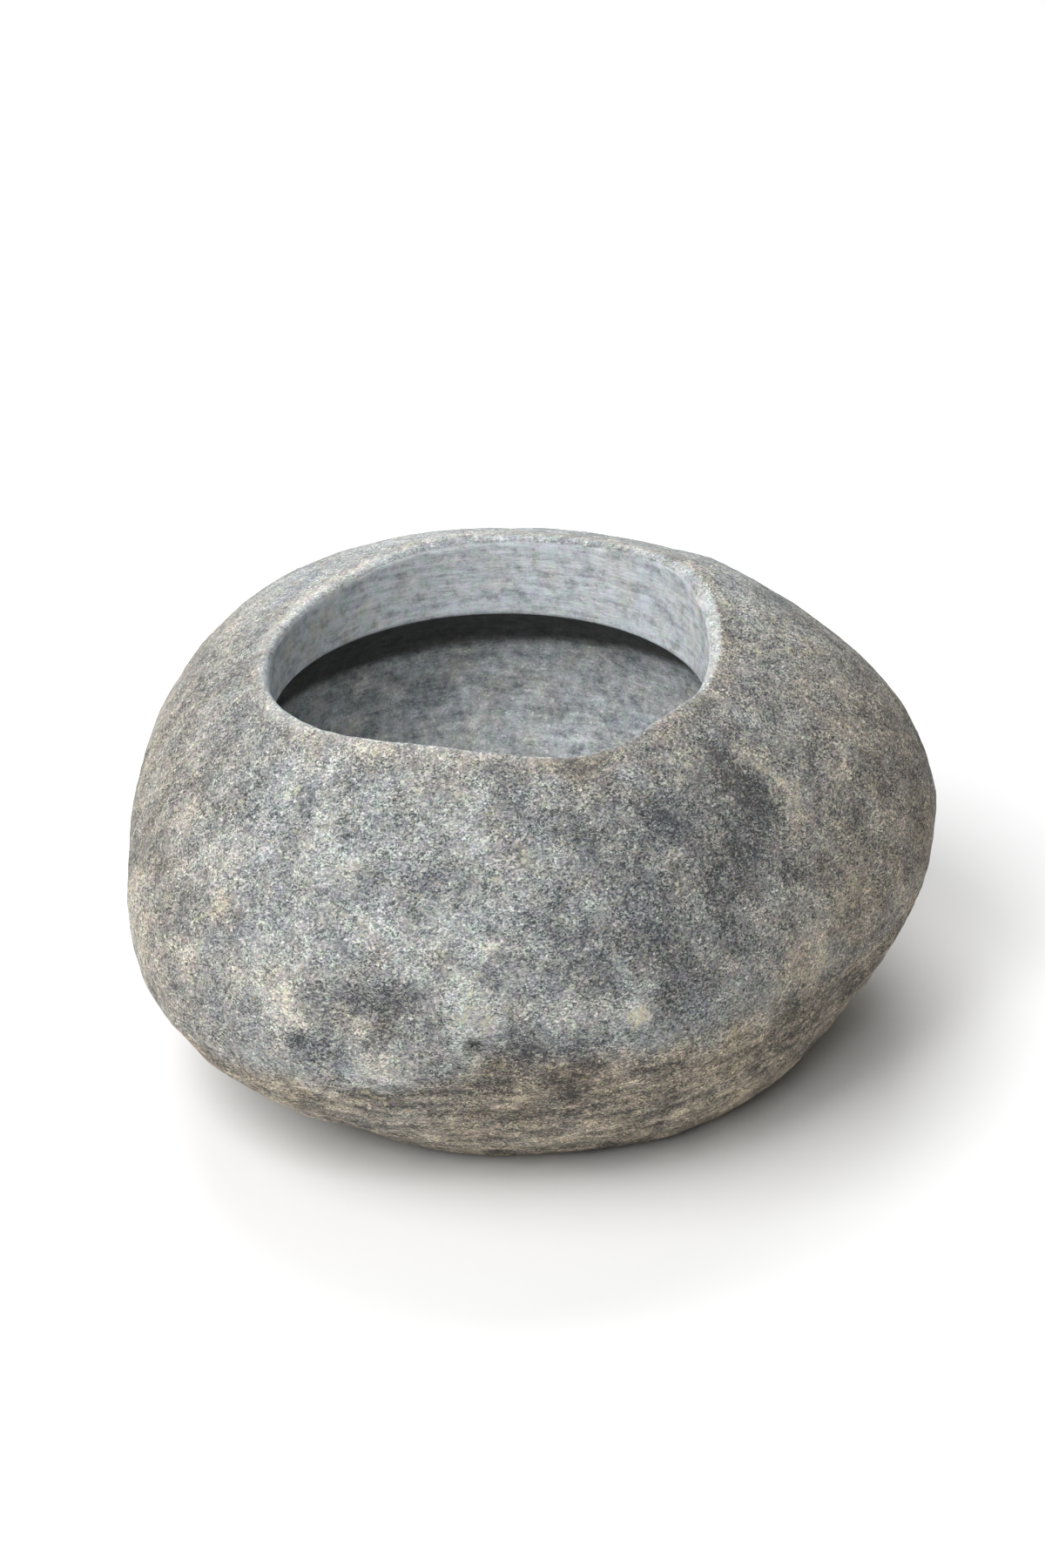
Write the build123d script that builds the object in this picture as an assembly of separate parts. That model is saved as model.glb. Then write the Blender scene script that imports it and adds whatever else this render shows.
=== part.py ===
from build123d import *
import os
from math import acos, cos, exp, radians, sin

# A mortar bowl made from one river boulder.
# The boulder stands on a ground flat base. A round mouth is bored down into it, off the boulder's
# middle, and below its straight neck the hollow widens into an undercut chamber.
# Millimetres. +Z is up, +X is towards the boulder's long nose, and the origin is on the base
# plane, straight below the centre of the mouth.

# ---- driving dimensions -------------------------------------------------------------------
HEART = (8.0, -6.0, 46.0)        # the middle of the boulder, which its faces are measured from
WEAR = 9.0                       # how crisp the edges between faces are: higher is crisper

# Worn faces of the boulder. Each ring has one elevation in degrees and lists the distance from
# the heart to the face, for azimuths 0, 45, 90 and so on, counted from +X towards +Y.
FACE_RINGS = {
    48.0: (85, 79, 87, 96, 78, 68, 66, 60),
    14.0: (98, 100, 97, 112, 95, 96, 88, 78),
    -26.0: (92, 85, 82, 89, 90, 105, 80, 79),
    -60.0: (69, 70, 75, 72, 69, 70, 75, 90),
}
CROWN_HEIGHT = 51.0              # heart to the face on top

# Local swellings (+) and hollows (-): azimuth, elevation and spread in degrees, then height
SWELLINGS = (
    (-14, 46, 9, -2.0),
    (20, 38, 12, -2.0),
    (24, 50, 8, -1.5),
    (30, 48, 10, 5.0),
    (60, 46, 12, 1.5),
    (110, 50, 16, -0.5),
    (134, 38, 10, -2.0),
    (150, 44, 14, -4.0),
    (176, 38, 10, -1.5),
    (-152, 41, 11, 1.0),
    (-120, 48, 14, 3.5),
    (-65, 50, 12, -1.5),
    (-41, 46, 10, 1.5),
    (-30, -30, 12, 2.0),
    (-118, -50, 14, 2.5),
)

NECK_RADIUS = 48.0               # the bored mouth
NECK_END = 75.0                  # height at which the neck ends and the chamber's roof starts
ROOF_FALL = -0.6                 # slope of the chamber's roof where it leaves the neck
CHAMBER_RADIUS = 60.0            # the widest part of the hollow
CHAMBER_WIDEST = 55.0            # height of the widest part
BOWL_FLOOR = 18.0                # height of the bottom of the hollow
RIM_BEVEL = 1.2                  # the ground bevel where the neck meets the boulder's skin

BASE_SEARCH = (-80.0, -20.0)     # elevations between which the boulder's skin meets the base
BASE_HALVINGS = 40
SECTION_POINTS = 40              # points on each ring that the boulder is lofted through
ELEVATIONS = (-36, -28, -20, -12, -4, 4, 12, 20, 28, 36, 44, 52)
CAP_RADIUS = 24.0                # closes the boulder inside the mouth, where the bore removes it
CAP_HEIGHT = 100.0
BORE_CLEARANCE = 20.0            # how far the bore's cutter starts above the boulder


def direction(azimuth, elevation):
    """Unit vector for an azimuth and an elevation in degrees."""
    azimuth = radians(azimuth)
    elevation = radians(elevation)
    return (cos(elevation) * cos(azimuth), cos(elevation) * sin(azimuth), sin(elevation))


def dot(first, second):
    return sum(a * b for a, b in zip(first, second))


def all_faces():
    """Every worn face as its outward direction and its distance from the heart."""
    faces = [((0.0, 0.0, 1.0), CROWN_HEIGHT)]
    for elevation, distances in FACE_RINGS.items():
        step = 360 / len(distances)
        for turn, distance in enumerate(distances):
            faces.append((direction(turn * step, elevation), distance))
    return faces


FACES = all_faces()
SWELLING_DIRECTIONS = [direction(azimuth, elevation) for azimuth, elevation, _, _ in SWELLINGS]


def skin_distance(way):
    """Distance from the heart to the boulder's skin along a unit vector."""
    closeness = sum((max(0.0, dot(way, face)) / distance) ** WEAR for face, distance in FACES)
    distance = closeness ** (-1 / WEAR)
    for (_, _, spread, height), middle in zip(SWELLINGS, SWELLING_DIRECTIONS):
        angle = acos(max(-1.0, min(1.0, dot(way, middle))))
        distance += height * exp(-0.5 * (angle / radians(spread)) ** 2)
    return distance


def skin_point(azimuth, elevation):
    """Point of the boulder's skin, seen from the heart."""
    way = direction(azimuth, elevation)
    reach = skin_distance(way)
    return tuple(middle + reach * part for middle, part in zip(HEART, way))


def base_point(azimuth):
    """Point where the boulder's skin meets the ground base, found by halving an interval."""
    low, high = BASE_SEARCH
    for _ in range(BASE_HALVINGS):
        elevation = (low + high) / 2
        if skin_point(azimuth, elevation)[2] < 0:
            low = elevation
        else:
            high = elevation
    x, y, _ = skin_point(azimuth, high)
    return (x, y, 0.0)


def cap_point(azimuth):
    """Point of the small circle that closes the boulder on top."""
    return (CAP_RADIUS * cos(radians(azimuth)), CAP_RADIUS * sin(radians(azimuth)), CAP_HEIGHT)


def closed_ring(points):
    """A smooth closed curve. All rings share one spacing of knots, so the loft stays light."""
    knots = [index / len(points) for index in range(len(points) + 1)]
    return Wire([Edge.make_spline(points, parameters=knots, periodic=True)])


def boulder():
    """The whole stone before it is hollowed: a loft through rings seen from the heart."""
    azimuths = [360 * index / SECTION_POINTS for index in range(SECTION_POINTS)]
    rings = [closed_ring([base_point(azimuth) for azimuth in azimuths])]
    for elevation in ELEVATIONS:
        rings.append(closed_ring([skin_point(azimuth, elevation) for azimuth in azimuths]))
    rings.append(closed_ring([cap_point(azimuth) for azimuth in azimuths]))
    return Solid.make_loft(rings)


def hollow():
    """The bored neck and the undercut chamber, turned about the mouth's axis."""
    top = CAP_HEIGHT + BORE_CLEARANCE
    lip = (NECK_RADIUS, NECK_END)
    widest = (CHAMBER_RADIUS, CHAMBER_WIDEST)
    profile = Polyline((0, top), (NECK_RADIUS, top), lip)
    profile += Spline(lip, widest, tangents=((1, ROOF_FALL), (0, -1)))
    profile += Spline(widest, (0, BOWL_FLOOR), tangents=((0, -1), (-1, 0)))
    profile += Line((0, BOWL_FLOOR), (0, top))
    return revolve(Plane.XZ * make_face(profile), Axis.Z)


def stone_bowl():
    """The hollowed stone, with the sharp rim of the mouth ground off."""
    bowl = boulder() - hollow()
    rim = [edge for edge in bowl.edges() if edge.bounding_box().min.Z > NECK_END + RIM_BEVEL]
    return chamfer(rim, RIM_BEVEL)


def write(name, shape):
    os.makedirs("parts", exist_ok=True)
    export_step(shape, f"parts/{name}.step")


write("stone_bowl", stone_bowl())
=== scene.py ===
import math

import bpy
import numpy as np
from mathutils import Matrix, Vector, noise
from mathutils.bvhtree import BVHTree


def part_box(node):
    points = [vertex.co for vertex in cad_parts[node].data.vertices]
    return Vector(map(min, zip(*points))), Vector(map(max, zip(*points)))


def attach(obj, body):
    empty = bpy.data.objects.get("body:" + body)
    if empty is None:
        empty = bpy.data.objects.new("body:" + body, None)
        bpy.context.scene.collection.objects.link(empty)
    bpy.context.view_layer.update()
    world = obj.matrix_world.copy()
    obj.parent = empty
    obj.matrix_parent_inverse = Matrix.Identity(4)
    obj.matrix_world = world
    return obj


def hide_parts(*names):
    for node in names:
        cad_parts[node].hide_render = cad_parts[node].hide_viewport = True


# A mortar bowl bored into one river boulder. Metres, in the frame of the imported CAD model:
# +Z up, origin on the base plane below the centre of the mouth.
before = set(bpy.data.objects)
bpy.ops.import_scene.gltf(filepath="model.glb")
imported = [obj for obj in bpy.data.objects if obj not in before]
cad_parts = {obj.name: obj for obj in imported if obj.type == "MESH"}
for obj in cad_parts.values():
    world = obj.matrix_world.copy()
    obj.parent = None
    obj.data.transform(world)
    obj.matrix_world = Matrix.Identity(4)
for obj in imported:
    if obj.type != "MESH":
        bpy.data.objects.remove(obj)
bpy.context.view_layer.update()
cad_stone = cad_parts["stone_bowl"]
MM = 0.001

# ---- driving sizes ------------------------------------------------------------------------
AROUND = 520                     # mesh columns around the mouth's axis
BASE_ROWS = 20                   # mesh rows on the underside, from its centre to its edge
SKIN_ROWS = 190                  # rows on the boulder's skin, from the base's edge to the rim
SHOULDER_ROWS = 60               # the highest of them, around the mouth
BEVEL_ROWS = 6
NECK_ROWS = 30
CHAMBER_ROWS = 96                # rows from the lip down the chamber's wall to the floor's centre
CHAMBER_CROWDING = 1.15          # above 1 sets the chamber's rows closer together near the lip

NECK_END = 75 * MM               # where the neck ends and the undercut chamber starts
CHAMBER_EYE = 50 * MM            # a height on the axis that sees the whole chamber
MOUTH_RADIUS = 48 * MM
CAD_BEVEL_END = 49.6 * MM        # the CAD model's skin starts this far from the mouth's axis
SLOPE_REACH = 2.4 * MM           # the skin's slope at the rim is measured over this length
BEVEL_DROP = 0.9                 # how far the bevel falls for each millimetre of its width
BEVEL_WANDER = 0.15              # millimetres by which the bevel's width wanders
RIM_WANDER = 0.30 * MM           # how far the rim's height wanders

# Relief: the size of the features across the surface, then their height
LUMPS = (26 * MM, 0.75 * MM)
KNOBS = (9 * MM, 0.38 * MM)
GRIT = (2.4 * MM, 0.13 * MM)
SMALL_PITS = (4.5 * MM, 0.45 * MM)
BASE_GRIT = (2.5 * MM, 0.05 * MM)
BEVEL_GRIT = (2.2 * MM, 0.05 * MM)
NECK_GROOVES = (1.7 * MM, 0.07 * MM)         # pitch and depth of the tool's turning marks
CHAMBER_GROOVES = (2.6 * MM, 0.16 * MM)
CHAMBER_WAVES = (13 * MM, 0.30 * MM)

# Values that change around the mouth: a base value, then bumps. Each bump is an angle in degrees
# from +X towards +Y, a spread in degrees and a height.
BEVEL_WIDTH = (0.32, (5, 22, 2.0), (110, 55, 1.0), (185, 22, 0.5))      # millimetres
RIM_SOFTNESS = (0.05, (90, 50, 0.75), (180, 28, 0.4), (5, 20, 0.2))     # sharp in front, worn behind
POWDER_SPILL = (0.0, (100, 50, 5.0), (180, 30, 1.0))                    # millimetres past the mouth
BEVEL_POWDER = (0.12, (5, 22, 0.36))                                    # share left on the bevel
LIP_SHADOW_DEPTH = (12.5, (165, 45, 3.0), (20, 40, -3.5))                    # millimetres below the neck that the painted shadow under the lip reaches

RAGGED_SHARE = 0.5               # a mark's edge wanders by this share of its spread
RAGGED_LIMIT = 2.5               # and by no more than this many millimetres

# Marks on the skin: place x, y, z, spread and relief in millimetres, then tone and warmth.
# Tone is lighter above 0 and darker below, and warmth turns the grey towards brown.
MARKS = (
    (-33, -82, 48, 4.5, -2.8, 0.02, 0.2),       # the hollow low on the front left
    (-20, -84, 51, 4.5, -3.0, 0.0, 0.2),        # its deeper end
    (-31, -76, 58, 4.0, 0.8, 0.0, 0.0),         # its brow
    (-17, -79, 61, 4.0, 0.9, 0.0, 0.0),
    (-33, -79, 52, 3.5, 0.0, -0.08, 0.1),       # painted shade under its brow
    (-24, -80, 57, 4.0, 0.0, -0.12, 0.1),
    (-43, -75, 51, 5.0, 0.3, 0.05, 0.4),
    (-6, -84, 55, 4.0, 1.3, 0.13, 0.0),         # the blunt ridge beside the hollow
    (-3, -86, 49, 4.0, 1.2, 0.12, 0.0),
    (3, -87, 42, 4.0, -1.1, -0.09, 0.4),        # the step to the right of the ridge
    (16, -85, 36, 5.0, -0.7, -0.10, 0.4),
    (10, -83, 32, 9.0, 0.0, -0.19, 0.0),
    (12, -79, 58, 8.0, 0.0, -0.08, 0.0),
    (-22, -86, 41, 6.0, 0.4, 0.08, 0.0),        # pale skin under the hollow
    (-41, -80, 43, 1.1, -1.2, -0.28, 0.2),      # two pits
    (-5, -87, 45, 1.2, -1.3, -0.32, 0.2),
    (17, -85, 48, 5.0, 0.3, 0.10, 0.1),         # pale line where the skin turns under
    (50, -69, 36, 5.0, 0.2, 0.09, 0.2),
    (30, -73, 59, 4.0, -0.3, -0.11, -0.1),
    (32, -76, 55, 3.5, 0.1, 0.11, 0.1),
    (28, -82, 49, 2.0, 0.3, 0.34, 0.2),         # knots of cream crystals
    (-27, -83, 49, 1.1, 0.3, 0.26, 0.0),
    (-30, -83, 47, 2.2, 0.2, 0.12, 0.2),
    (-42, -76, 51, 2.2, 0.3, 0.13, 0.2),
    (33, -59, 70, 2.0, 0.2, 0.32, 0.2),
    (22, -62, 72, 1.4, 0.1, 0.25, 0.2),
    (-2, -78, 63, 1.6, 0.1, 0.25, 0.2),
    (-57, -55, 61, 2.6, 0.1, 0.10, 0.4),
    (6, -66, 76, 1.8, 0.0, 0.12, 0.4),
    (76, -42, 47, 7.0, 0.0, 0.14, 0.3),         # tan stains on the right
    (64, -57, 42, 6.0, 0.0, 0.14, 0.4),
    (94, -15, 49, 6.0, 0.0, 0.05, 0.4),
    (54, -32, 79, 2.2, 0.1, 0.24, 0.2),         # a pale curved vein
    (58, -32, 77, 1.8, 0.1, 0.16, 0.2),
    (61, -34, 74, 1.8, 0.1, 0.20, 0.2),
    (64, -36, 70, 2.2, 0.2, 0.26, 0.2),
    (63, -40, 67, 1.8, 0.1, 0.16, 0.2),
    (55, -39, 74, 4.0, -0.3, -0.12, 0.0),       # the dark skin inside its curve
    (20, -46, 88, 4.0, -0.3, -0.14, 0.5),       # the worn nick in the front of the rim
    (83, -9, 69, 9.0, 0.0, -0.08, 0.1),
    (37, -55, 71, 8.0, 0.0, -0.07, 0.0),
    (-76, -22, 60, 4.0, -0.8, 0.0, 0.0),        # a small step down the left end
    (-77, -33, 50, 4.0, 0.7, 0.0, 0.0),
    (-59, -46, 64, 6.0, 0.0, 0.08, 0.0),
    (-15, -71, 69, 5.0, 0.0, -0.08, 0.0),
    (-40, -80, 33, 6.0, 0.0, 0.08, 0.1),
    (-25, -77, 21, 10.0, 0.0, 0.06, -0.3),      # greyer under the left end
    (-24, -85, 40, 6.0, 0.0, -0.04, 0.25),
    (60, -60, 27, 8.0, 0.0, -0.14, 0.2),        # painted shade under the right end, browned as a painted reflection from below
    (74, -43, 24, 9.0, -2.2, 0.0, 0.0),         # the waist low on the right
    (75, -45, 60, 32.0, 0.0, -0.08, 0.35),      # darker right side, paler front
    (-10, -70, 70, 26.0, 0.0, 0.05, 0.0),
    (68, -1, 83, 16.0, 0.0, 0.10, 0.2),         # paler shoulders
    (-50, 32, 85, 22.0, 0.0, 0.04, 0.1),
)


# ---- measuring the CAD stone --------------------------------------------------------------
def surface_of(piece):
    """A search tree over a piece's mesh."""
    mesh = piece.data
    corners = [vertex.co.copy() for vertex in mesh.vertices]
    return BVHTree.FromPolygons(corners, [tuple(face.vertices) for face in mesh.polygons])


SURFACE = surface_of(cad_stone)
LOW, HIGH = (Vector(corner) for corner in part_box("stone_bowl"))
HEART = (LOW + HIGH) / 2
FAR = 2 * (HIGH - LOW).length


def hit(start, way):
    """The first point of the CAD stone along a ray."""
    point, _, _, _ = SURFACE.ray_cast(Vector(start), Vector(way).normalized())
    return point


def skin_height(radius, angle):
    """Height of the stone's top at a radius and an angle from the mouth's axis."""
    x = radius * math.cos(angle)
    y = radius * math.sin(angle)
    return hit((x, y, FAR), (0, 0, -1)).z


def toward_heart(way):
    """The skin's point that lies in a direction from the heart."""
    return hit(HEART + way * FAR, -way)


def base_edge(angle):
    """The edge of the flat base in one direction, found by halving an interval."""
    inner, outer = 0.0, (HIGH - LOW).x
    for _ in range(24):
        reach = (inner + outer) / 2
        x = HEART.x + reach * math.cos(angle)
        y = HEART.y + reach * math.sin(angle)
        above = hit((x, y, -FAR), (0, 0, 1))
        if above is not None and above.z < 0.1 * MM:
            inner = reach
        else:
            outer = reach
    return Vector((HEART.x + inner * math.cos(angle), HEART.y + inner * math.sin(angle), 0.0))


# ---- the stone's mesh ---------------------------------------------------------------------
def value_at(angle, profile):
    """A value that changes around the mouth, at one angle in radians."""
    value, *bumps = profile
    for centre, spread, height in bumps:
        away = (math.degrees(angle) - centre + 180) % 360 - 180
        value += height * math.exp(-0.5 * (away / spread) ** 2)
    return value


def rim_points(angle):
    """Reach and height of the bevel's outer edge, read off the CAD stone, and its inner height."""
    ripple = BEVEL_WANDER * noise.noise(Vector((3 * math.cos(angle), 3 * math.sin(angle), 7.0)))
    width = (value_at(angle, BEVEL_WIDTH) + ripple) * MM
    near_height = skin_height(CAD_BEVEL_END, angle)
    slope = (skin_height(CAD_BEVEL_END + SLOPE_REACH, angle) - near_height) / SLOPE_REACH
    reach = MOUTH_RADIUS + width
    height = skin_height(max(reach, CAD_BEVEL_END), angle) + slope * min(reach - CAD_BEVEL_END, 0)
    height += RIM_WANDER * noise.noise(Vector((9 * math.cos(angle), 9 * math.sin(angle), 2.0)))
    return reach, height, height - BEVEL_DROP * width


def straight_rows(start, end, count):
    """Evenly spaced points from one point towards another, which is left out."""
    return [start.lerp(end, row / count) for row in range(count)]


def skin_rows(edge, rim):
    """Points of the skin, seen from the heart, from the base's edge up to the rim."""
    down = (edge - HEART).normalized()
    up = (rim - HEART).normalized()
    rows = [edge]
    while len(rows) < SKIN_ROWS:
        point = toward_heart(down.slerp(up, len(rows) / SKIN_ROWS))
        if point.z > NECK_END and math.hypot(point.x, point.y) < CAD_BEVEL_END:
            break
        rows.append(point)
    last, left = rows[-1], SKIN_ROWS - len(rows)
    return rows + straight_rows(last, rim, left + 1)[1:]


def chamber_rows(side, lip):
    """Points of the chamber's wall, seen from the axis, from the lip down towards the floor."""
    eye = Vector((0, 0, CHAMBER_EYE))
    top_angle = math.atan2(NECK_END - CHAMBER_EYE, MOUTH_RADIUS)
    rows = [lip]
    for row in range(1, CHAMBER_ROWS):
        share = (row / CHAMBER_ROWS) ** CHAMBER_CROWDING
        angle = top_angle - (top_angle + math.pi / 2) * share
        rows.append(hit(eye, side * math.cos(angle) + Vector((0, 0, math.sin(angle)))))
    return rows


def grid_column(angle):
    """One column of the mesh, over the base, the skin, the bevel, the neck and the chamber."""
    reach, height, inner_height = rim_points(angle)
    side = Vector((math.cos(angle), math.sin(angle), 0.0))
    centre = Vector((HEART.x, HEART.y, 0.0))
    edge = base_edge(angle)
    rim = side * reach + Vector((0, 0, height))
    inner = side * MOUTH_RADIUS + Vector((0, 0, inner_height))
    lip = side * MOUTH_RADIUS + Vector((0, 0, NECK_END))
    column = straight_rows(centre, edge, BASE_ROWS)[1:]
    column += skin_rows(edge, rim)
    column += straight_rows(rim, inner, BEVEL_ROWS)
    column += straight_rows(inner, lip, NECK_ROWS)
    return column + chamber_rows(side, lip)


BASE_END = BASE_ROWS - 1                         # the row that is the base's edge
SKIN_END = BASE_END + SKIN_ROWS                  # the row that is the rim's outer edge
BEVEL_END = SKIN_END + BEVEL_ROWS                # the row that is the neck's top
NECK_LAST = BEVEL_END + NECK_ROWS                # the row that is the lip
ROWS = NECK_LAST + CHAMBER_ROWS
ROW = np.arange(ROWS)
ANGLE = np.arange(AROUND) * 2 * math.pi / AROUND
INSIDE = (ROW >= SKIN_END).astype(float)         # the bevel, the neck and the chamber
ON_BEVEL = ((ROW >= SKIN_END) & (ROW < BEVEL_END)).astype(float)
IN_CHAMBER = (ROW > NECK_LAST).astype(float)


def all_columns():
    """Every column of the mesh as one array: column, row, x y z."""
    return np.array([[tuple(point) for point in grid_column(angle)] for angle in ANGLE])


def at_columns(profile):
    """A value that changes around the mouth, for every column."""
    return np.array([value_at(angle, profile) for angle in ANGLE])[:, None]


def smooth(points, weight, passes):
    """Relaxes the grid: each point moves part of the way to the middle of its four neighbours."""
    for _ in range(passes):
        across = np.roll(points, 1, axis=0) + np.roll(points, -1, axis=0)
        along = points.copy()
        along[:, 1:-1] = points[:, :-2] + points[:, 2:]
        middle = points.copy()
        middle[:, 1:-1] = (across[:, 1:-1] + along[:, 1:-1]) / 4
        points = points + 0.6 * weight[..., None] * (middle - points)
    return points


def near_row(row, spread):
    """1 at a row, falling smoothly to 0 around it."""
    return np.exp(-0.5 * ((ROW - row) / spread) ** 2)


def worn(points):
    """Takes the CAD mesh's facets off the skin, and rounds the base's edge, the rim and the lip."""
    everywhere = np.ones((AROUND, 1))
    on_skin = ((ROW > BASE_END + 1) & (ROW < SKIN_END - 2)).astype(float)
    points = smooth(points, everywhere * on_skin, 10)
    points = smooth(points, everywhere * near_row(BASE_END, 4), 28)
    points = smooth(points, at_columns(RIM_SOFTNESS) * near_row(SKIN_END + 2, 3.8), 20)
    return smooth(points, everywhere * near_row(NECK_LAST, 1.2), 3)


def normals_of(points):
    """Outward unit normals of the grid."""
    across = np.roll(points, -1, axis=0) - np.roll(points, 1, axis=0)
    along = np.gradient(points, axis=1)
    normal = np.cross(across, along)
    return normal / np.maximum(np.linalg.norm(normal, axis=2, keepdims=True), 1e-12)


def wander(points, size, shift=0):
    """Smooth noise from -1 to 1. Its lumps have one size or three, and another shift gives others."""
    scaled = points / np.asarray(size, dtype=float) + shift
    flat = [noise.noise(Vector(point)) for point in scaled.reshape(-1, 3)]
    return np.array(flat).reshape(points.shape[:2])


def grain(points, size, shift=0):
    """As wander, with three octaves."""
    scaled = points / size + shift
    flat = [noise.fractal(Vector(point), 0.8, 2.1, 3) for point in scaled.reshape(-1, 3)]
    return np.array(flat).reshape(points.shape[:2])


def step_up(value, low, high):
    """0 below low, 1 above high, smooth between."""
    share = np.clip((value - low) / (high - low), 0, 1)
    return share * share * (3 - 2 * share)


def skin_relief(points, normals):
    """Lumps, grit, small pits and, on the underside, the split edges of the stone's layers."""
    lumps, knobs = wander(points, LUMPS[0]), wander(points, KNOBS[0], shift=5)
    pits = step_up(wander(points, SMALL_PITS[0], shift=31), 0.45, 0.7)
    relief = LUMPS[1] * lumps + KNOBS[1] * knobs - SMALL_PITS[1] * pits
    relief += GRIT[1] * grain(points, GRIT[0], shift=11)
    under = step_up(-normals[..., 2], 0.05, 0.45)
    layers = wander(points, (16 * MM, 16 * MM, 1.7 * MM), shift=3)
    ledges = wander(points, (30 * MM, 30 * MM, 4.5 * MM), shift=9)
    return relief + under * MM * (0.26 * layers + 0.40 * ledges)


def cut_relief(points, pitch, depth):
    """Turning marks: fine level grooves, broken up along their length."""
    height = points[..., 2]
    drift = wander(points, 25 * MM, shift=17)
    marks = np.sin(2 * math.pi * (height / pitch + 0.8 * drift))
    torn = wander(points, (9 * MM, 9 * MM, 0.9 * MM), shift=23)
    return depth * (0.5 * marks * (0.6 + drift) + 0.9 * torn)


def relief_of(points, normals):
    """How far each point of the grid moves along its normal."""
    relief = np.zeros((AROUND, ROWS))
    base = slice(0, BASE_END - 2)
    skin = slice(BASE_END - 2, SKIN_END)
    bevel = slice(SKIN_END, BEVEL_END)
    neck = slice(BEVEL_END, NECK_LAST)
    chamber = slice(NECK_LAST, ROWS)
    relief[:, base] = BASE_GRIT[1] * grain(points[:, base], BASE_GRIT[0])
    relief[:, skin] = skin_relief(points[:, skin], normals[:, skin])
    relief[:, bevel] = BEVEL_GRIT[1] * grain(points[:, bevel], BEVEL_GRIT[0], shift=11)
    relief[:, neck] = cut_relief(points[:, neck], *NECK_GROOVES)
    relief[:, chamber] = cut_relief(points[:, chamber], *CHAMBER_GROOVES)
    relief[:, chamber] += CHAMBER_WAVES[1] * wander(points[:, chamber], CHAMBER_WAVES[0], shift=41)
    fade = 1 - 0.8 * near_row(SKIN_END, 3)
    fade *= 1 - near_row(NECK_LAST, 1.5)
    return relief * fade


def marks_at(points):
    """The marks' relief in metres, tone and warmth, summed at each point. Their edges are ragged."""
    drift = np.stack([wander(points, 6 * MM, shift) for shift in (51, 63, 75)], axis=2)
    total = np.zeros((3, AROUND, ROWS))
    for x, y, z, spread, relief, tone, warmth in MARKS:
        ragged = points + min(RAGGED_LIMIT, RAGGED_SHARE * spread) * MM * drift
        away = np.linalg.norm(ragged - np.array((x, y, z)) * MM, axis=2)
        share = np.exp(-0.5 * (away / (spread * MM)) ** 2)
        total += np.array((relief * MM, tone, warmth))[:, None, None] * share
    return total


def warm_share(points, normals, across):
    """Brown skin: where the stone turns under, partly its own brown and partly a painted brown
    reflection from below, at its two ends, and near the rim from handling.
    """
    x, y = points[..., 0] / MM, points[..., 1] / MM
    on_left = 1 - step_up(x, -22, 2)
    at_back = step_up(y, -30, 30)
    ragged = (0.10 + 0.12 * at_back) * wander(points, 9 * MM, shift=71)
    ragged += 0.30 * at_back * wander(points, 30 * MM, shift=73)
    # Under the stone the brown is partly the stone's own and partly a painted reflection of a brown
    # surface below.
    turned_under = step_up(ragged - normals[..., 2] - 0.19 * on_left, -0.06, 0.26 + 0.2 * at_back)
    right_end = 0.50 * step_up(x, 55, 98)
    left_end = 0.55 * step_up(-x, 40, 80)
    handled = 0.40 * (1 - step_up(across + 2 * wander(points, 7 * MM, shift=81), 50, 58))
    return (1 - INSIDE) * np.maximum.reduce([turned_under, right_end, left_end, handled])


def cut_shares(points, across):
    """Stone that the tool has cut, and the pale powder of the cut, which spills over the rim."""
    spill = at_columns(POWDER_SPILL) * (1 + 0.8 * wander(points, 5 * MM, shift=87))
    reach = MOUTH_RADIUS / MM + spill
    on_shoulder = ROW > SKIN_END - SHOULDER_ROWS
    spilled = on_shoulder * (1 - step_up(across, reach - 1.0, reach + 3.5))
    # The skin's back half near the mouth is made paler, towards the powder colour.
    paler_back = 0.28 * step_up(points[..., 1], 5 * MM, 45 * MM) * (1 - step_up(across, 56, 84))
    cut = np.maximum(INSIDE - 0.5 * ON_BEVEL, 0.6 * spilled)
    settled = INSIDE * (1 - 0.60 * IN_CHAMBER) * (1 - ON_BEVEL * (1 - at_columns(BEVEL_POWDER)))
    return cut, np.maximum.reduce([settled, 0.35 * spilled, paler_back])


def lip_shadow_share(points):
    """A dark band of painted shadow under the neck's end, on the chamber's roof, where the lip shades
    the wall.
    """
    limit = at_columns(LIP_SHADOW_DEPTH)
    depth = (NECK_END - points[..., 2]) / MM + 0.8 * wander(points, 8 * MM, shift=93)
    return IN_CHAMBER * (1 - step_up(depth, limit - 1.5, limit + 2.5))


def stone_faces():
    """The grid's four-sided faces, wound outwards, and the fans that close its two ends."""
    base_centre = AROUND * ROWS
    floor_centre = base_centre + 1
    faces = []
    for column in range(AROUND):
        here = column * ROWS
        there = (column + 1) % AROUND * ROWS
        faces.append((base_centre, there, here))
        for row in range(ROWS - 1):
            faces.append((here + row, there + row, there + row + 1, here + row + 1))
        faces.append((here + ROWS - 1, there + ROWS - 1, floor_centre))
    return faces


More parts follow.
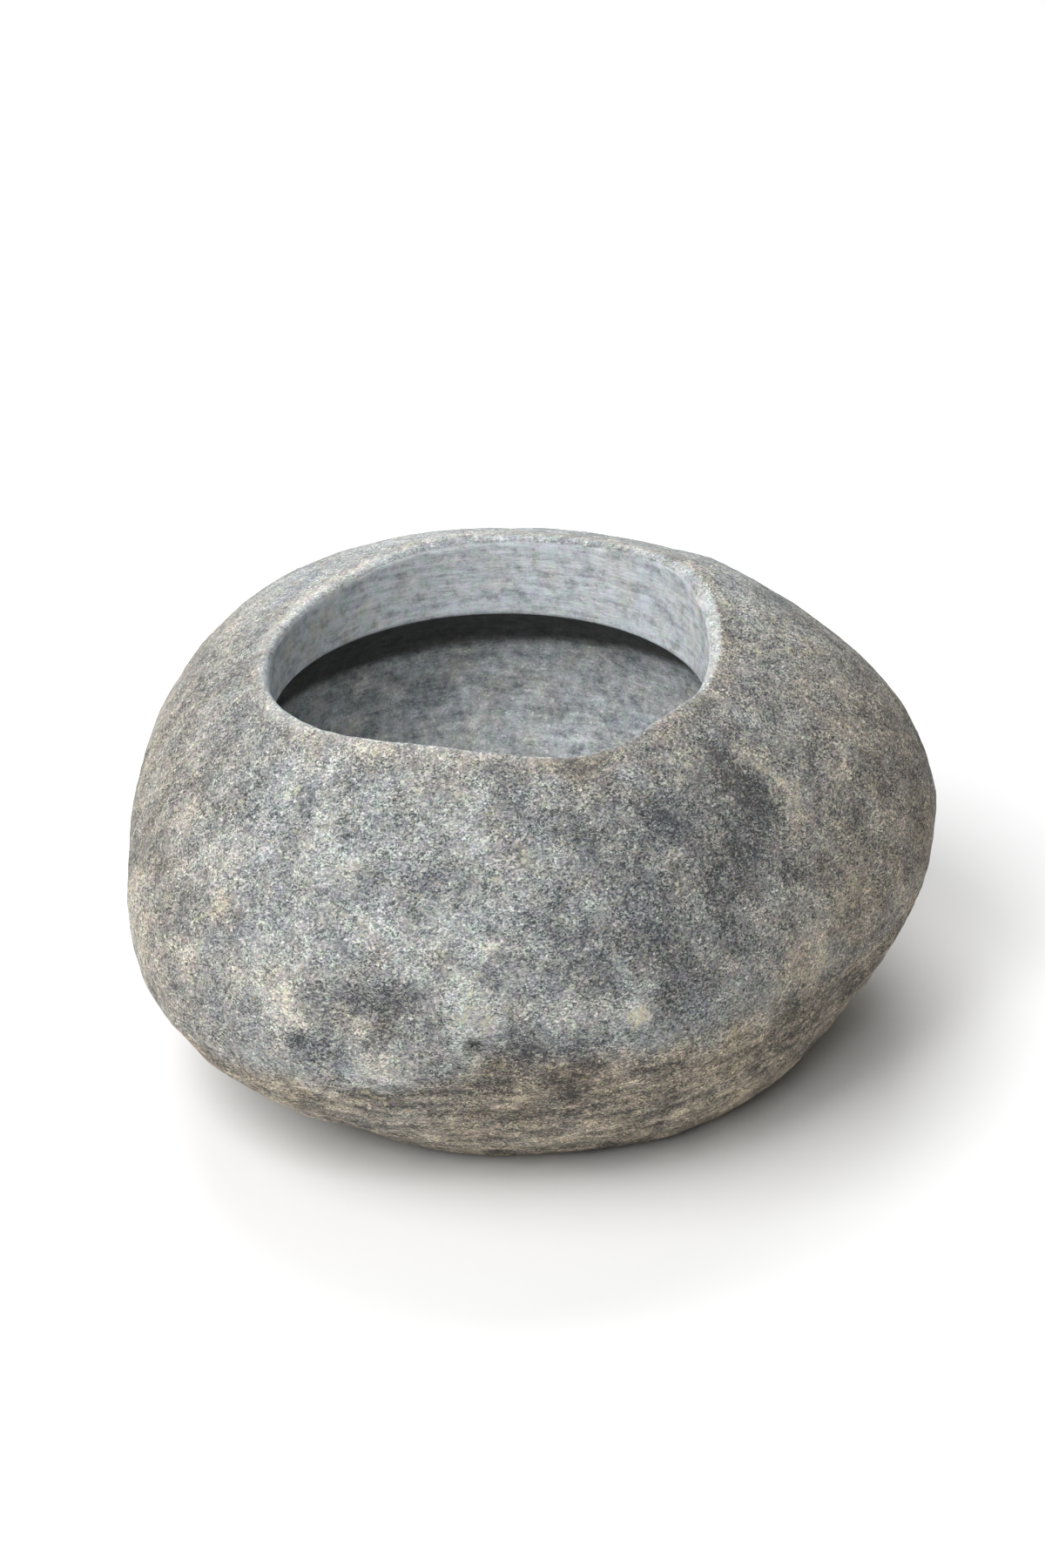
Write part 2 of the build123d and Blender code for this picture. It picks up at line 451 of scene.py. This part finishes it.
def stone_mesh():
    """The whole stone as one closed mesh, with its surface relief in the geometry."""
    points = worn(all_columns())
    normals = normals_of(points)
    mark_relief, tone, mark_warmth = marks_at(points)
    across = np.linalg.norm(points[..., :2], axis=2) / MM
    cut, powder = cut_shares(points, across)
    warm = warm_share(points, normals, across) + mark_warmth
    fields = {"tone": tone, "warm": warm, "cut": cut, "powder": powder, "lip_shadow": lip_shadow_share(points)}
    relief = relief_of(points, normals) + mark_relief * (1 - cut)
    fields["relief"] = relief / MM
    points = points + normals * relief[..., None]
    points[:, :BASE_END, 2] = np.maximum(points[:, :BASE_END, 2], 0)
    floor = points[:, -1].mean(axis=0)
    corners = np.vstack([points.reshape(-1, 3), [[HEART.x, HEART.y, 0.0]], [floor]])
    faces = stone_faces()
    mesh = bpy.data.meshes.new("stone")
    mesh.from_pydata(corners.tolist(), [], faces)
    mesh.polygons.foreach_set("use_smooth", [True] * len(faces))
    for name, values in fields.items():
        field = mesh.attributes.new(name, "FLOAT", "POINT")
        centres = (values[:, 0].mean(), values[:, -1].mean())
        field.data.foreach_set("value", np.append(values.ravel(), centres))
    mesh.update()
    return mesh


# ---- materials ----------------------------------------------------------------------------
class Shader:
    """A material's node tree, with one short call for each kind of node."""

    def __init__(self, name):
        self.material = bpy.data.materials.new(name)
        self.material.use_nodes = True
        self.tree = self.material.node_tree
        self.surface = self.tree.nodes["Principled BSDF"]
        self.place = self.add("TexCoord").outputs["Object"]
        facing = self.add("SeparateXYZ", {"Vector": self.add("NewGeometry").outputs["Normal"]})
        self.upward = facing.outputs["Z"]

    def add(self, kind, inputs=(), **settings):
        node = self.tree.nodes.new("ShaderNode" + kind)
        for setting, value in settings.items():
            setattr(node, setting, value)
        for socket, value in dict(inputs).items():
            self.set(node.inputs[socket], value)
        return node

    def set(self, socket, value):
        if isinstance(value, bpy.types.NodeSocket):
            self.tree.links.new(value, socket)
        else:
            socket.default_value = value

    def stretched(self, x, y, z):
        """The place, scaled along each axis, so that noise on it has lumps of 1/x by 1/y by 1/z m."""
        mapping = self.add("Mapping", {"Vector": self.place, "Scale": (x, y, z)})
        return mapping.outputs["Vector"]

    def noise(self, size, detail=3.0, rough=0.55, place=None):
        """Noise with lumps of one size in millimetres, or on a stretched place."""
        scale = 1.0 if size is None else 1 / (size * MM)
        where = self.place if place is None else place
        inputs = {"Vector": where, "Scale": scale, "Detail": detail, "Roughness": rough}
        return self.add("TexNoise", inputs).outputs["Fac"]

    def cells(self, size):
        """Crystals of one size in millimetres, flattened a little: three random numbers for each."""
        inputs = {"Vector": self.stretched(1.0, 1.0, 1.4), "Scale": 1 / (size * MM)}
        colour = self.add("TexVoronoi", inputs).outputs["Color"]
        return self.add("SeparateColor", {"Color": colour}).outputs

    def attribute(self, name):
        return self.add("Attribute", attribute_name=name).outputs["Fac"]

    def math(self, operation, first, second=0.0, third=0.0):
        inputs = {0: first, 1: second, 2: third}
        return self.add("Math", inputs, operation=operation).outputs[0]

    def centred(self, value):
        """Moves a number from 0..1 to -0.5..0.5."""
        return self.math("ADD", value, -0.5)

    def spread(self, value, low, high, to_low=0.0, to_high=1.0):
        """Moves a value's range from low..high to to_low..to_high, and holds it there."""
        inputs = {"Value": value, "From Min": low, "From Max": high}
        inputs.update({"To Min": to_low, "To Max": to_high})
        return self.add("MapRange", inputs).outputs["Result"]

    def ramp(self, value, *stops):
        """Colours along a value. Each stop is a position and a colour."""
        node = self.add("ValToRGB", {"Fac": value})
        elements = node.color_ramp.elements
        while len(elements) < len(stops):
            elements.new(1.0)
        for element, (position, colour) in zip(elements, stops):
            element.position = position
            element.color = (*colour, 1.0)
        return node.outputs["Color"]

    def mix(self, share, first, second, blend="MIX"):
        node = self.add("Mix", data_type="RGBA", blend_type=blend)
        self.set(node.inputs[0], share)
        for socket, value in ((node.inputs[6], first), (node.inputs[7], second)):
            self.set(socket, (*value, 1.0) if isinstance(value, tuple) else value)
        return node.outputs[2]

    def finish(self, colour, roughness, height, depth):
        """Puts colour, roughness and a bump of a depth in millimetres on the surface."""
        bump = self.add("Bump", {"Height": height, "Distance": depth * MM, "Strength": 1.0})
        self.set(self.surface.inputs["Base Color"], colour)
        self.set(self.surface.inputs["Roughness"], roughness)
        self.set(self.surface.inputs["Normal"], bump.outputs["Normal"])
        return self.material


BLACK_MICA = (0.045, 0.048, 0.053)
BLUE_GREY = (0.125, 0.132, 0.142)
MID_GREY = (0.270, 0.276, 0.274)
PALE_GREY = (0.470, 0.474, 0.455)
FELDSPAR = (0.820, 0.815, 0.770)
OCHRE = (0.430, 0.370, 0.220)
CREAM = (0.620, 0.590, 0.440)
POWDER = (0.800, 0.830, 0.865)
COOL = (0.94, 1.00, 1.04)
WARM = (1.18, 1.00, 0.78)
ROSE = (1.07, 0.97, 1.07)
GREEN = (0.94, 1.03, 0.93)
# the colour of the painted shadow under the lip, as a multiplier
LIP_SHADOW_TINT = (0.14, 0.135, 0.125)
MINERALS = (                     # the crystals' colours, from the darkest pick to the palest
    (0.08, BLACK_MICA),
    (0.30, BLUE_GREY),
    (0.50, MID_GREY),
    (0.72, PALE_GREY),
    (0.98, FELDSPAR),
)
BUMP_DEPTH = 0.38                # millimetres


def minerals(shader, tone, cut):
    """Salt and pepper: each crystal takes a random mineral, and tone shifts the whole mix."""
    coarse = shader.cells(0.58)
    fine = shader.cells(0.32)
    strength = shader.spread(shader.noise(4, detail=3), 0.35, 0.65, 0.32, 0.74)
    strength = shader.math("MULTIPLY", strength, shader.spread(cut, 0.5, 1.0, 1.0, 0.45))
    pick = shader.math("MULTIPLY_ADD", shader.centred(coarse[0]), 0.20, 0.50)
    pick = shader.math("MULTIPLY_ADD", shader.centred(fine[0]), strength, pick)
    clumps = shader.spread(shader.noise(2.4, detail=4, rough=0.7), 0.30, 0.70, -0.10, 0.10)
    flecks = shader.spread(coarse[2], 0.93, 0.98, 0.0, 0.24)
    flecks = shader.math("ADD", flecks, shader.spread(coarse[2], 0.02, 0.07, -0.20, 0.0))
    pick = shader.math("ADD", shader.math("ADD", pick, clumps), shader.math("ADD", flecks, tone))
    return shader.ramp(pick, *MINERALS), coarse, fine


def stone_tone(shader, cut, under, layers, marks):
    """How light or dark the mix of minerals is at each place."""
    patches = shader.spread(shader.noise(9, detail=6, rough=0.70), 0.30, 0.70, -0.19, 0.19)
    regions = shader.spread(shader.noise(45, detail=2), 0.35, 0.65, -0.05, 0.05)
    tone = shader.math("ADD", patches, regions)
    tone = shader.math("ADD", tone, shader.attribute("tone"))
    # Painted shade in the relief's dents and painted light on its bumps: the tone follows the relief.
    tone = shader.math("ADD", tone, shader.spread(shader.attribute("relief"), -0.8, 0.6, -0.12, 0.07))
    tone = shader.math("MULTIPLY_ADD", shader.spread(layers, 0.3, 0.7, -0.30, 0.22), under, tone)
    on_cut = shader.math("MULTIPLY", cut, 0.6)
    return shader.math("MULTIPLY_ADD", shader.centred(marks), on_cut, tone)


def add_crust(shader, colour, uncut):
    """Cream crust on the skin, most of all on the palest marks."""
    blots = shader.noise(2.6, detail=5, rough=0.72)
    crust = shader.math("MULTIPLY_ADD", shader.attribute("tone"), 0.45, blots)
    crust = shader.spread(crust, 0.60, 0.70, 0.0, 0.60)
    return shader.mix(shader.math("MULTIPLY", crust, uncut), colour, CREAM)


def add_large_crystals(shader, colour, coarse, uncut):
    """Rare crystals in the skin: pale and yellow ones in clusters, and black ones anywhere."""
    grains = shader.cells(0.85)
    clustered = shader.math("MULTIPLY", shader.spread(shader.noise(6, detail=3), 0.46, 0.60), uncut)
    pale = shader.math("MULTIPLY", shader.spread(grains[0], 0.92, 0.96, 0.0, 0.50), clustered)
    colour = shader.mix(pale, colour, shader.ramp(grains[1], (0.0, CREAM), (0.6, FELDSPAR)))
    dark = shader.math("MULTIPLY", shader.spread(grains[0], 0.04, 0.07, 0.35, 0.0), uncut)
    colour = shader.mix(dark, colour, BLACK_MICA)
    yellow = shader.math("MULTIPLY", shader.spread(coarse[1], 0.95, 0.98, 0.0, 0.6), clustered)
    return shader.mix(yellow, colour, OCHRE)


def tinted(shader, colour, fine):
    """Cool to warm by the mesh's warm share, with a faint drift between rose and green."""
    warmth = shader.spread(shader.noise(7, detail=5, rough=0.65), 0.3, 0.7, -0.30, 0.30)
    warmth = shader.math("MULTIPLY_ADD", fine[1], 0.40, shader.math("ADD", warmth, -0.12))
    warmth = shader.math("ADD", warmth, shader.attribute("warm"))
    tint = shader.ramp(shader.spread(warmth, -0.6, 1.2), (0.0, COOL), (0.28, COOL), (1.0, WARM))
    colour = shader.mix(1.0, colour, tint, blend="MULTIPLY")
    drift = shader.spread(shader.noise(2.0, detail=5, rough=0.75), 0.35, 0.65)
    return shader.mix(1.0, colour, shader.ramp(drift, (0.0, ROSE), (1.0, GREEN)), blend="MULTIPLY")


def stone_bump(shader, cut, under, layers, turning, fine):
    """Height for the bump: grit and crystals, the layers' edges, and the turning marks."""
    grit = shader.noise(0.45, detail=3, rough=0.65)
    height = shader.math("MULTIPLY_ADD", fine[1], 0.35, grit)
    height = shader.math("MULTIPLY", height, shader.spread(cut, 0.0, 1.0, 1.0, 0.45))
    height = shader.math("MULTIPLY_ADD", shader.math("MULTIPLY", layers, under), 1.8, height)
    return shader.math("MULTIPLY_ADD", shader.math("MULTIPLY", turning, cut), 0.9, height)


def stone_material():
    """The boulder's natural skin, and the paler, streaky stone where the tool has cut it."""
    shader = Shader("river_stone")
    cut = shader.attribute("cut")
    uncut = shader.math("SUBTRACT", 1.0, cut)
    under = shader.math("MULTIPLY", shader.spread(shader.upward, 0.05, -0.35), uncut)
    layers = shader.noise(None, detail=4, rough=0.62, place=shader.stretched(125, 125, 430))
    turning = shader.noise(None, detail=5, rough=0.7, place=shader.stretched(110, 110, 620))
    blotches = shader.spread(shader.noise(3, detail=5, rough=0.75), 0.30, 0.70, 0.10, 0.90)
    marks = shader.math("ADD", shader.spread(turning, 0.3, 0.7, -0.30, 0.30), blotches)

    tone = stone_tone(shader, cut, under, layers, marks)
    colour, coarse, fine = minerals(shader, tone, cut)
    bloom = shader.spread(marks, 0.10, 0.90, 0.36, 1.0)
    colour = shader.mix(shader.math("MULTIPLY", bloom, shader.attribute("powder")), colour, POWDER)
    colour = add_crust(shader, colour, uncut)
    colour = add_large_crystals(shader, colour, coarse, uncut)
    colour = tinted(shader, colour, fine)
    # Painted shadow: the band under the neck's end is darkened to about a seventh.
    lip_shadowed = shader.mix(1.0, colour, LIP_SHADOW_TINT, blend="MULTIPLY")
    colour = shader.mix(shader.attribute("lip_shadow"), colour, lip_shadowed)

    glints = shader.spread(fine[2], 0.92, 0.95, 0.86, 0.45)
    rough = shader.mix(cut, glints, shader.spread(turning, 0.3, 0.7, 0.72, 0.86))
    height = stone_bump(shader, cut, under, layers, turning, fine)
    return shader.finish(colour, rough, height, BUMP_DEPTH)


def floor_material():
    """A pale matt studio floor with a faint mottle."""
    shader = Shader("studio_floor")
    mottle = shader.noise(400, detail=2)
    colour = shader.ramp(mottle, (0.3, (0.88, 0.88, 0.88)), (0.7, (0.92, 0.92, 0.92)))
    shader.set(shader.surface.inputs["Base Color"], colour)
    shader.surface.inputs["Roughness"].default_value = 0.9
    return shader.material


# ---- the scene ----------------------------------------------------------------------------
def add_stone():
    stone = bpy.data.objects.new("carved_stone", stone_mesh())
    bpy.context.collection.objects.link(stone)
    stone.data.materials.append(stone_material())
    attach(stone, "root")
    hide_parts("stone_bowl")


def add_floor():
    size = 4.0
    mesh = bpy.data.meshes.new("floor")
    corners = [(-size, -size, 0), (size, -size, 0), (size, size, 0), (-size, size, 0)]
    mesh.from_pydata(corners, [], [(0, 1, 2, 3)])
    floor = bpy.data.objects.new("floor", mesh)
    floor.location.z = LOW.z - 0.05 * MM         # just under the stone's base
    bpy.context.collection.objects.link(floor)
    mesh.materials.append(floor_material())


def add_softbox(name, place, aim, width, power):
    light = bpy.data.lights.new(name, "AREA")
    light.size = width
    light.energy = power
    box = bpy.data.objects.new(name, light)
    box.location = place
    box.rotation_euler = (Vector(aim) - Vector(place)).to_track_quat("-Z", "Y").to_euler()
    bpy.context.collection.objects.link(box)


def add_lights():
    middle = (HEART.x, HEART.y, HIGH.z)
    add_softbox("key", (-0.60, -0.35, 0.95), middle, 0.80, 9.6)
    add_softbox("front", (-0.25, -0.70, 0.85), middle, 0.80, 6.0)
    add_softbox("back", (-0.06, 0.78, 0.82), middle, 0.80, 9.8)
    add_softbox("top", (0.10, 0.0, 1.1), middle, 0.80, 1.2)
    world = bpy.data.worlds.new("studio")
    world.use_nodes = True
    background = world.node_tree.nodes["Background"]
    background.inputs["Color"].default_value = (1.0, 1.0, 1.0, 1.0)
    background.inputs["Strength"].default_value = 0.05
    bpy.context.scene.world = world


def add_camera():
    """75 mm lens, a little over 70 cm off, looking 29.5 degrees down with the head tipped 2 degrees."""
    lens = bpy.data.cameras.new("camera")
    lens.lens = 75
    lens.sensor_width = 36
    camera = bpy.data.objects.new("camera", lens)
    pitch, roll = math.radians(29.48), math.radians(1.97)
    turn = Matrix.Rotation(math.pi / 2 - pitch, 4, "X") @ Matrix.Rotation(-roll, 4, "Z")
    camera.matrix_world = Matrix.Translation((6.5 * MM, -632.8 * MM, NECK_END + 339.2 * MM)) @ turn
    bpy.context.collection.objects.link(camera)
    bpy.context.scene.camera = camera


add_stone()
add_floor()
add_lights()
add_camera()
bpy.context.scene.view_settings.view_transform = "Standard"
